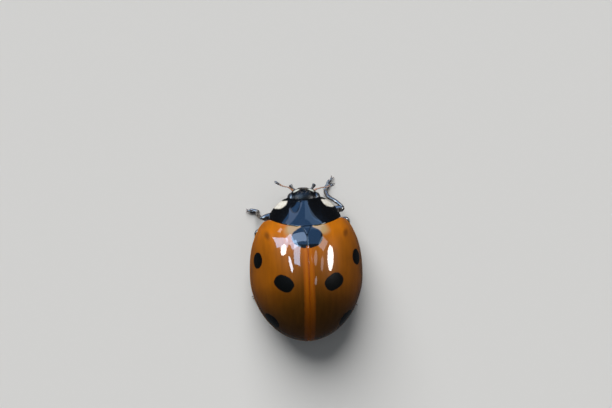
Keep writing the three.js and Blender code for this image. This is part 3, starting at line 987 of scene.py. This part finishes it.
# jaws and the lower mouthparts, all behind the lip
mouthSide = joined([
    limbShape(limb([(0.27, -3.30, 0.93), (0.20, -3.46, 0.89), (0.03, -3.53, 0.86)],
                   (0.09, 0.08, 0.012), (0.07, 0.02))),
    roundShape((0.27, -3.20, 0.92), (0.12, 0.19, 0.09), 2.2, 20, 28),
    limbShape(limb([(0.07, -3.34, 0.83), (0.11, -3.42, 0.79), (0.13, -3.50, 0.79)],
                   (0.025, 0.03, 0.02), (0.025, 0.02))),
])
middleMouth = roundShape((0, -3.22, 0.88), (0.20, 0.22, 0.08), 2.6, 24, 36)
mouth = joined([mouthSide, mirrored(mouthSide), middleMouth])
makePiece("jaws_and_lower_lip", mouth, "foot")
print("head made")


# feelers and palps

feelers = dict(
    left=[(0.50, -3.44, 1.38), (0.73, -3.62, 1.33), (1.02, -3.70, 1.23), (1.40, -3.93, 1.08)],
    right=[(-0.50, -3.43, 1.38), (-0.82, -3.53, 1.33), (-1.20, -3.57, 1.25), (-1.57, -3.69, 1.16)],
)

# share of the length where each of the eleven joints ends, and its half thickness at start and end
feelerJoints = (
    (0.13, 0.045, 0.052), (0.21, 0.034, 0.036), (0.32, 0.024, 0.028), (0.40, 0.023, 0.026),
    (0.48, 0.023, 0.028), (0.55, 0.024, 0.028), (0.62, 0.024, 0.030), (0.69, 0.025, 0.032),
    (0.79, 0.028, 0.050), (0.89, 0.044, 0.064), (1.00, 0.058, 0.040),
)

palps = dict(
    left=[(0.26, -3.34, 0.92), (0.46, -3.50, 0.84), (0.62, -3.72, 0.86)],
    right=[(-0.26, -3.34, 0.92), (-0.46, -3.50, 0.84), (-0.60, -3.72, 0.86)],
)

# share where each palp joint starts and ends, half width at start and end, half depth
palpJoints = ((0.0, 0.18, 0.034, 0.042, 0.036), (0.15, 0.50, 0.040, 0.066, 0.050),
              (0.46, 0.66, 0.046, 0.068, 0.048), (0.62, 1.0, 0.062, 0.098, 0.054))


def stretch(knots, start, end):
    # knots of a stretch of a longer path
    return alongPath(knots, np.linspace(start, end, 4))


def makeFeeler(knots):
    shapes = []
    start = 0.0
    for end, first, last in feelerJoints:
        stops = [(0, first * 0.72), (0.25, first), (0.85, last), (1, last * 0.8)]
        joint = limb(stretch(knots, max(start - 0.012, 0), end), stops, stops, roundness=0.16)
        points, quads, triangles = limbShape(joint, 18, 20)
        toTip = np.full((len(points), 1), (start + end) / 2)
        shapes.append((np.hstack([points, toTip]), quads, triangles))
        start = end
    return joined(shapes)


def makePalp(knots):
    shapes = []
    for start, end, first, last, deep in palpJoints:
        wide = [(0, first * 0.8), (0.3, blend(first, last, 0.4)), (0.9, last), (1, last * 0.94)]
        joint = limb(stretch(knots, start, end), wide, (deep * 0.9, deep), roundness=0.14)
        shapes.append(limbShape(joint, 22, 24))
    return joined(shapes)


for side in ("left", "right"):
    feeler, palp = makeFeeler(feelers[side]), makePalp(palps[side])
    makePiece("feeler_" + side, feeler, "feeler", ("antenna_" + side,), ("toTip",))
    makePiece("mouth_palp_" + side, palp, "foot", ("palp_" + side,))
print("feelers and palps made")


# legs

# joint centres; the tip is on the floor, and a shin that isn't almost straight has its own bends
legs = dict(
    front_left=dict(coxa=(0.30, -2.36, 0.86), hip=(0.72, -2.38, 0.80), knee=(2.12, -2.12, 1.12),
                    ankle=(2.24, -2.43), tip=(2.82, -2.50), shin=[(2.23, -2.25, 0.66)]),
    front_right=dict(coxa=(-0.30, -2.36, 0.86), hip=(-0.72, -2.38, 0.80), knee=(-2.03, -2.46, 0.96),
                     ankle=(-1.13, -3.36), tip=(-1.56, -4.03),
                     shin=[(-1.62, -2.81, 0.74), (-1.28, -3.04, 0.47)]),
    middle_left=dict(coxa=(0.50, -1.36, 0.78), hip=(0.92, -1.34, 0.72), knee=(2.43, -1.47, 0.86),
                     ankle=(2.12, -0.34), tip=(2.46, 0.40)),
    middle_right=dict(coxa=(-0.50, -1.36, 0.78), hip=(-0.90, -1.42, 0.72), knee=(-2.20, -1.97, 0.92),
                      ankle=(-2.14, -0.86), tip=(-2.50, -0.14)),
    rear_left=dict(coxa=(0.42, -0.12, 0.76), hip=(0.62, 0.10, 0.70), knee=(1.50, 1.10, 0.84),
                   ankle=(2.06, 1.50), tip=(2.66, 1.86)),
    rear_right=dict(coxa=(-0.42, -0.12, 0.76), hip=(-0.64, 0.08, 0.70), knee=(-1.58, 0.98, 0.84),
                    ankle=(-2.14, 1.80), tip=(-2.50, 2.50)),
)

legSize = dict(
    ankleZ=0.20,
    shinBow=0.035,
    spurLength=0.075,
    spurLean=0.45,
    femurWide=[(0, 0.12), (0.2, 0.165), (0.5, 0.19), (0.8, 0.165), (0.95, 0.13), (1, 0.11)],
    femurDeep=[(0, 0.10), (0.4, 0.145), (0.85, 0.12), (1, 0.09)],
    tibiaWide=[(0, 0.070), (0.12, 0.078), (0.55, 0.090), (0.88, 0.102), (1, 0.085)],
    tibiaDeep=[(0, 0.070), (0.12, 0.072), (0.6, 0.080), (0.9, 0.088), (1, 0.075)],
)

# parts of a foot: the piece each goes into, its centre line as (share of the foot's length, sideways,
# height), half widths, half depths, roundness, rows, sides and the level of its flat sole. A part
# that ends off the middle comes once for each side.
footParts = (
    ("joints", [(-0.06, 0, 0.20), (0.14, 0, 0.150), (0.38, 0, 0.11)],
     [(0, 0.062), (0.3, 0.092), (1, 0.112)], (0.055, 0.072), 0.2, 22, 24, 0.03),
    ("joints", [(0.28, 0.02, 0.130), (0.46, 0.045, 0.105), (0.70, 0.070, 0.075)],
     [(0, 0.055), (0.6, 0.070), (1, 0.055)], (0.055, 0.050), 0.25, 22, 20, 0.02),
    ("joints", [(0.44, 0, 0.12), (0.60, 0, 0.165), (0.76, 0, 0.155), (0.88, 0, 0.105)],
     [(0, 0.034), (0.6, 0.046), (1, 0.060)], (0.034, 0.052), 0.1, 24, 18, None),
    ("pads", [(0.08, 0, 0.045), (0.36, 0, 0.03)], (0.05, 0.092), (0.05, 0.04), 0.3, 14, 20, 0.0),
    ("pads", [(0.38, 0.045, 0.035), (0.68, 0.070, 0.025)], (0.045, 0.052), (0.045, 0.035),
     0.3, 14, 20, 0.0),
    ("claws", [(0.82, 0.018, 0.115), (0.90, 0.045, 0.112), (0.965, 0.070, 0.072), (0.995, 0.080, 0.012)],
     (0.022, 0.017, 0.005), (0.026, 0.020, 0.005), 0.06, 20, 14, 0.0),
    ("claws", [(0.86, 0.030, 0.105), (0.90, 0.040, 0.065)], (0.020, 0.004), (0.020, 0.004),
     0.12, 12, 12, 0.0),
)


def legLimbs(joints):
    # the long parts of one leg as limbs, from the body outward
    coxa, hip, knee = (np.array(joints[name]) for name in ("coxa", "hip", "knee"))
    ankle = np.array([*joints["ankle"], legSize["ankleZ"]])
    outward, shin = unit(knee - hip), unit(ankle - knee)
    bowed = (knee + ankle) / 2 + legSize["shinBow"] * np.array([outward[0], outward[1], 0.6])
    shinUp = (0, 0, 1) if abs(shin[2]) < 0.9 else (outward[0], outward[1], 0.4)
    return dict(
        coxa=limb([coxa + (0, 0, 0.10), (coxa + hip) / 2 + (0, 0, 0.05), hip],
                  (0.17, 0.19, 0.12), (0.16, 0.16, 0.11), roundness=0.3),
        trochanter=limb([hip - outward * 0.06, hip + outward * 0.18], (0.12, 0.13), (0.11, 0.11),
                        roundness=0.4),
        femur=limb([hip + outward * 0.06, (hip + knee) / 2 + (0, 0, 0.03), knee],
                   legSize["femurWide"], legSize["femurDeep"]),
        tibia=limb([knee - outward * 0.02, *joints.get("shin", [bowed]), ankle],
                   legSize["tibiaWide"], legSize["tibiaDeep"], shinUp, 0.08),
    )


def makeFoot(joints):
    # two broad joints with pads, a claw joint arching from between the lobes, and two toothed claws
    ankle = np.array(joints["ankle"])
    ahead = joints["tip"] - ankle
    across = unit(np.array([-ahead[1], ahead[0]]))
    shapes = dict(joints=[], pads=[], claws=[])
    for kind, line, wide, deep, roundness, rows, sides, floorLevel in footParts:
        for lobe in (-1, 1) if line[-1][1] else (1,):
            knots = [(*(ankle + ahead * forward + across * lobe * sideways), height)
                     for forward, sideways, height in line]
            part = limb(knots, wide, deep, roundness=roundness)
            shapes[kind].append(limbShape(part, rows, sides, floorLevel))
    return [joined(parts) for parts in shapes.values()]


def makeSpurs(shin):
    # two short spines at the lower end of the shin
    centre, along, sideways, top = (value[0] for value in limbFrame(shin, np.array([0.95])))
    spurs = []
    for lean in (-legSize["spurLean"], legSize["spurLean"]):
        root = centre + sideways * 0.12 * lean - top * 0.03
        end = root + (along + sideways * lean * 0.6 - top * 0.25) * legSize["spurLength"]
        spurs.append(limbShape(limb([root, end], (0.014, 0.003), (0.014, 0.003)), 10, 10, 0.005))
    return joined(spurs)


allLimbs = {}
clawShapes, padShapes = [], []
for place, joints in legs.items():
    limbs = allLimbs[place] = legLimbs(joints)
    hipShape = joined([limbShape(limbs["coxa"], 30, 32), limbShape(limbs["trochanter"], 24, 28)])
    shinShape = joined([limbShape(limbs["tibia"], 48, 32), makeSpurs(limbs["tibia"])])
    footShape, padShape, clawShape = makeFoot(joints)
    padShapes.append(padShape)
    clawShapes.append(clawShape)
    for name, node, finishName, shape in (("coxa", "coxa", "leg", hipShape),
                                          ("femur", "femur", "leg", limbShape(limbs["femur"], 48, 36)),
                                          ("tibia", "tibia", "leg", shinShape),
                                          ("foot", "tarsus", "foot", footShape)):
        makePiece(f"leg_{place}_{name}", shape, finishName, (f"{node}_{place}",))
makePiece("foot_pads", joined(padShapes), "pad")
makePiece("claws", joined(clawShapes), "claw")
print("legs made:", len(legs))


# hairs

hair = dict(
    thickness=0.0030,
    patch=0.003,         # width of a hair's patch in the unwrap
    perShin=460,
    perThigh=260,
    perFeeler=170,
    belly=3600,
    face=420,
)


def makeHairs(roots, outward, lie, length, lift, charts):
    # each hair is a bent three-sided spike: root + along s + outward lift s (1 - s / 2), thinning to a
    # tip. charts is the place of each root on its skin's unwrap; a hair has its own small patch there
    lie = unit(lie - outward * np.sum(lie * outward, 1, keepdims=True))
    across = np.cross(outward, lie)[:, None, :]
    turn = (np.arange(3) * 2 * np.pi / 3)[None, :, None]
    ringWay = across * np.cos(turn) + outward[:, None, :] * np.sin(turn)
    rings = []
    for share, fullness in ((-0.12, 1.0), (0.5, 0.75)):
        way = (lie + outward * lift[:, None] * (1 - max(share, 0) / 2)) * (length * share)[:, None]
        rings.append((roots + way)[:, None, :] + hair["thickness"] * fullness * ringWay)
    tip = roots + (lie + outward * lift[:, None] * 0.5) * length[:, None]
    points = np.concatenate([*rings, tip[:, None, :]], 1).reshape(-1, 3)
    first = (np.arange(len(roots)) * 7)[:, None, None]
    sides = [[one, after, after + 3, one + 3] for one, after in ((0, 1), (1, 2), (2, 0))]
    ends = [[3, 4, 6], [4, 5, 6], [5, 3, 6], [0, 2, 1]]
    quads, triangles = (first + np.array(sides)).reshape(-1, 4), (first + np.array(ends)).reshape(-1, 3)
    corners = ((0, 0), (2, 0), (1, 2), (0, 2 / 3), (2, 2 / 3), (1, 2), (1, 1))
    patch = hair["patch"] / 2 * np.array(corners)
    uv = (charts[:, None, :] * 0.99 + patch).reshape(-1, 2)
    return (points, quads, triangles), uv


def joinHairs(parts):
    return joined([shape for shape, uv in parts]), np.vstack([uv for shape, uv in parts])


def limbHairs(part, count, length, chart, shares=(0.05, 0.98), lift=0.55, floorGap=0.012):
    # hairs on a limb, lying toward its far end; chart is its square's corner and size in the unwrap
    share = random.uniform(shares[0], shares[1], count)
    turn = random.uniform(0, 2 * np.pi, count)
    roots, outward, along = limbPoints(part, share, turn)
    sizes = length * random.uniform(0.7, 1.2, count)
    lifts = lift * random.uniform(0.6, 1.3, count)
    lie = along + 0.25 * random.normal(size=(count, 3))
    charts = np.stack([chart[0] + chart[2] * share, chart[1] + chart[2] * turn / (2 * np.pi)], 1)
    kept = roots[:, 2] + sizes * (along[:, 2] + outward[:, 2] * lifts) > floorGap
    return makeHairs(roots[kept], outward[kept], lie[kept], sizes[kept], lifts[kept], charts[kept])


legHairs = []
for row, limbs in enumerate(allLimbs.values()):
    legHairs.append(limbHairs(limbs["tibia"], hair["perShin"], 0.085, (0.02, row * 0.16, 0.13)))
    legHairs.append(limbHairs(limbs["femur"], hair["perThigh"], 0.06, (0.22, row * 0.16, 0.13),
                              lift=0.35))
shape, uv = joinHairs(legHairs)
makePiece("leg_hairs", shape, "paleHair", uv=uv)

feelerHairs = []
for row, knots in enumerate(feelers.values()):
    stops = [(0, 0.045)] + [(end, last * 0.95) for end, first, last in feelerJoints]
    wholeFeeler = limb(knots, stops, stops, roundness=0.04)
    feelerHairs.append(limbHairs(wholeFeeler, hair["perFeeler"], 0.04, (0.02, row * 0.3, 0.25),
                                 (0.12, 0.99)))
shape, uv = joinHairs(feelerHairs)
makePiece("feeler_hairs", shape, "darkHair", uv=uv)


def makeBellyHairs(count):
    # short hairs lying back over the underside, rooted on its own surface
    y = random.uniform(belly["frontY"] + 0.1, belly["endY"] - 0.25, count)
    across = random.uniform(-0.96, 0.96, count)
    x = across * bellyHalfWidth(y)
    relief = np.where(y < belly["waistY"], thoraxRelief(x, y), abdomenRelief(x, y))
    step = 0.01
    slopeX = (bellyHeight(x + step, y) - bellyHeight(x - step, y)) / (2 * step)
    slopeY = (bellyHeight(x, y + step) - bellyHeight(x, y - step)) / (2 * step)
    outward = unit(np.stack([slopeX, slopeY, -np.ones(count)], 1))
    roots = np.stack([x, y, bellyHeight(x, y) + relief], 1)
    lie = np.stack([0.2 * across, np.ones(count), np.zeros(count)], 1)
    lie += 0.2 * random.normal(size=(count, 3))
    charts = np.stack([0.05 + 0.9 * (across + 1) / 2, 0.05 + 0.9 * (y + 2) / 6], 1)
    lengths, lifts = random.uniform(0.06, 0.11, count), random.uniform(0.15, 0.4, count)
    return makeHairs(roots, outward, lie, lengths, lifts, charts)


shape, uv = makeBellyHairs(hair["belly"])
makePiece("belly_hairs", shape, "paleHair", uv=uv)


def makeFaceHairs(count):
    # very short hairs on the face between the eyes, pointing down
    ray = unit(random.normal(size=(count * 6, 3)))
    ray = ray[(ray[:, 1] < -0.55) & (np.abs(ray[:, 0]) < 0.62)][:count]
    reach = np.sum(np.abs(ray) ** head["fullness"], 1, keepdims=True) ** (-1 / head["fullness"])
    roots = head["centre"] + ray * reach * head["radii"]
    roots = faceRelief(roots[None], ray[None])[0]
    outward = unit(ray / head["radii"])
    lie = (0.0, -0.3, -1.0) + 0.3 * random.normal(size=ray.shape)
    charts = 0.5 + 0.45 * ray[:, (0, 2)]
    lengths, lifts = random.uniform(0.03, 0.055, len(ray)), random.uniform(0.4, 0.9, len(ray))
    return makeHairs(roots, outward, lie, lengths, lifts, charts)


shape, uv = makeFaceHairs(hair["face"])
makePiece("face_hairs", shape, "paleHair", uv=uv)
print("hairs made")


# floor, light and camera

studio = dict(
    floorRadius=0.6,
    floorColour=(0.70, 0.70, 0.695),
    skyForCamera=(0.60, 0.596, 0.585),   # as bright as the floor, so that no horizon shows
    skyFill=(0.13, 0.135, 0.14),         # soft light from all round
    skyMirrored=(0.035, 0.038, 0.042),   # what the polish mirrors between the panels
)

# the sun lights every surface but isn't mirrored, and the panels below are only mirrored. An azimuth
# goes from 0 ahead of the animal to 90 on its left.
sun = dict(azimuth=14, elevation=35, wide=50, colour=(1.0, 0.985, 0.96), strength=4.2)

# each panel's azimuth, elevation, degrees wide and tall as the animal sees it, turn, whether round,
# colour, and glow in watts per square metre and steradian
panels = dict(
    stripRight=(-72, 41, 29, 14, -15, True, (1.0, 0.99, 0.98), 46),
    blobLeft=(58, 39, 17, 11, -7, True, (1.0, 0.98, 0.98), 46),
    windowSide=(50, 31, 26, 13, -50, False, (0.44, 0.70, 1.0), 21),
    windowInner=(31, 39, 13, 12, 0, False, (0.44, 0.70, 1.0), 18),
    windowMiddle=(26, 49, 14, 9, 0, False, (0.46, 0.70, 1.0), 18),
    windowStripe=(33, 62, 27, 12, 45, False, (0.46, 0.72, 1.0), 20),
    windowLow=(39, 15, 7, 6, 20, False, (0.75, 0.90, 1.0), 9),
    slantedStreak=(73, 57, 19, 6, 27, True, (0.72, 0.86, 1.0), 36),
    windowRight=(-38, 44, 14, 15, 0, False, (0.70, 0.88, 1.0), 7),
    rightStreakInner=(-37, 66, 20, 5, -50, True, (0.80, 0.90, 1.0), 5),
    rightStreakOuter=(-71, 60, 18, 6, -17, True, (0.80, 0.90, 1.0), 5),
    rightStreakSmall=(-120, 71, 12, 3, 23, True, (0.85, 0.90, 1.0), 6),
    skyWide=(1, 26, 45, 52, 0, False, (0.14, 0.42, 1.0), 3.2),
    skyLeftEnd=(29, 5, 11, 10, 0, False, (0.14, 0.42, 1.0), 3.2),
    skyRightEnd=(-25, 16.5, 8, 7, 0, False, (0.40, 0.62, 1.0), 3.2),
    skyLeft=(18, 7, 11, 16, 0, False, (0.60, 0.72, 1.0), 2.8),
    skyRight=(-11, 16, 20, 30, 0, False, (0.50, 0.72, 1.0), 2.0),
    skyHigh=(13, 42, 18, 12, 0, False, (0.55, 0.72, 1.0), 10.5),
)
panelDistance = 250  # millimetres


def makeFloor(values):
    # a disc: rings about the middle, and a fan inside the smallest
    rings, sides = np.linspace(0.004, values["floorRadius"], 12)[:, None], 96
    turn = fullTurn(sides)[None, :]
    grid = np.stack([rings * np.cos(turn), rings * np.sin(turn), 0 * rings * turn], -1)
    points = [*grid.reshape(-1, 3).tolist(), (0, 0, 0)]
    fan = [(len(points) - 1, one, (one + 1) % sides) for one in range(sides)]
    mesh = bpy.data.meshes.new("floor")
    mesh.from_pydata(points, [], gridCells(len(rings), sides)[:, ::-1].tolist() + fan)
    finish, tree = newFinish("floor")
    setSurface(tree, (*values["floorColour"], 1), 0.9, 0.0, 0.03, (), 0.1)
    mesh.materials.append(finish)
    floor = addObject("floor", mesh)
    floor.visible_glossy = False   # the black shell would mirror it as grey


def makeWorld(values):
    # pale to the camera, dark to the polish, and a soft fill for everything else
    world = bpy.data.worlds.new("studio")
    world.use_nodes = True
    tree = world.node_tree
    path = addNode(tree, "LightPath").outputs
    sky = mixColour(tree, path["Is Glossy Ray"], values["skyFill"], values["skyMirrored"])
    sky = mixColour(tree, path["Is Camera Ray"], sky, values["skyForCamera"])
    setInputs(tree, tree.nodes["Background"], {"Color": sky})
    bpy.context.scene.world = world


def placeLight(light, azimuth, elevation, turn=0.0):
    # Z points from the animal to the light, X is level and Y rises; turn is about Z
    sine, cosine = math.sin(math.radians(azimuth)), math.cos(math.radians(azimuth))
    rise = math.radians(elevation)
    away = Vector((sine * math.cos(rise), -cosine * math.cos(rise), math.sin(rise)))
    level = Vector((cosine, sine, 0))
    axes = Matrix((level, away.cross(level), away)).transposed()
    twist = Matrix.Rotation(math.radians(turn), 3, "Z")
    light.matrix_world = Matrix.Translation(away * panelDistance * mm) @ (axes @ twist).to_4x4()
    light.visible_camera = False


def makeSun(values):
    lamp = bpy.data.lights.new("sun", "SUN")
    lamp.energy = values["strength"]
    lamp.color = values["colour"]
    lamp.angle = math.radians(values["wide"])
    light = addObject("sun", lamp)
    placeLight(light, values["azimuth"], values["elevation"])
    light.visible_glossy = False


def makePanel(name, azimuth, elevation, wide, tall, turn, isRound, colour, glow):
    # side = 2 distance tan(angle / 2); power = pi x area x glow
    lamp = bpy.data.lights.new(name, "AREA")
    lamp.shape = "ELLIPSE" if isRound else "RECTANGLE"
    lamp.size, lamp.size_y = (2 * panelDistance * mm * math.tan(math.radians(angle / 2))
                              for angle in (wide, tall))
    lamp.color = colour
    area = lamp.size * lamp.size_y * (math.pi / 4 if isRound else 1)
    lamp.energy = math.pi * area * glow
    light = addObject(name, lamp)
    placeLight(light, azimuth, elevation, turn)
    light.visible_diffuse = False


camera = dict(
    aim=(-0.10, -2.774, 1.5),   # the point in the middle of the picture
    leanLeft=0.054,             # how far the view leans to the animal's left, per unit of height
    leanHead=0.052,
    roll=0.04,                  # the body's midline leans this much in the picture
    distance=150,
    widthSeen=30.15,            # at the aimed point
    sensor=36,
)


def makeCamera(values):
    back = Vector((values["leanLeft"], -values["leanHead"], 1)).normalized()
    up = Vector((-values["roll"], -1, -values["leanHead"]))
    right = up.cross(back).normalized()
    up = back.cross(right).normalized()
    lens = bpy.data.cameras.new("camera")
    lens.sensor_width = values["sensor"]
    lens.lens = values["sensor"] * values["distance"] / values["widthSeen"]
    lens.clip_start, lens.clip_end = 0.001, 5.0
    seer = addObject("camera", lens)
    turn = Matrix((right, up, back)).transposed()
    seer.matrix_world = Matrix.Translation(
        (Vector(values["aim"]) + back * values["distance"]) * mm) @ turn.to_4x4()
    bpy.context.scene.camera = seer


makeFloor(studio)
makeWorld(studio)
makeSun(sun)
for name, values in panels.items():
    makePanel(name, *values)
makeCamera(camera)
bpy.context.scene.view_settings.view_transform = "Standard"
print("studio ready")
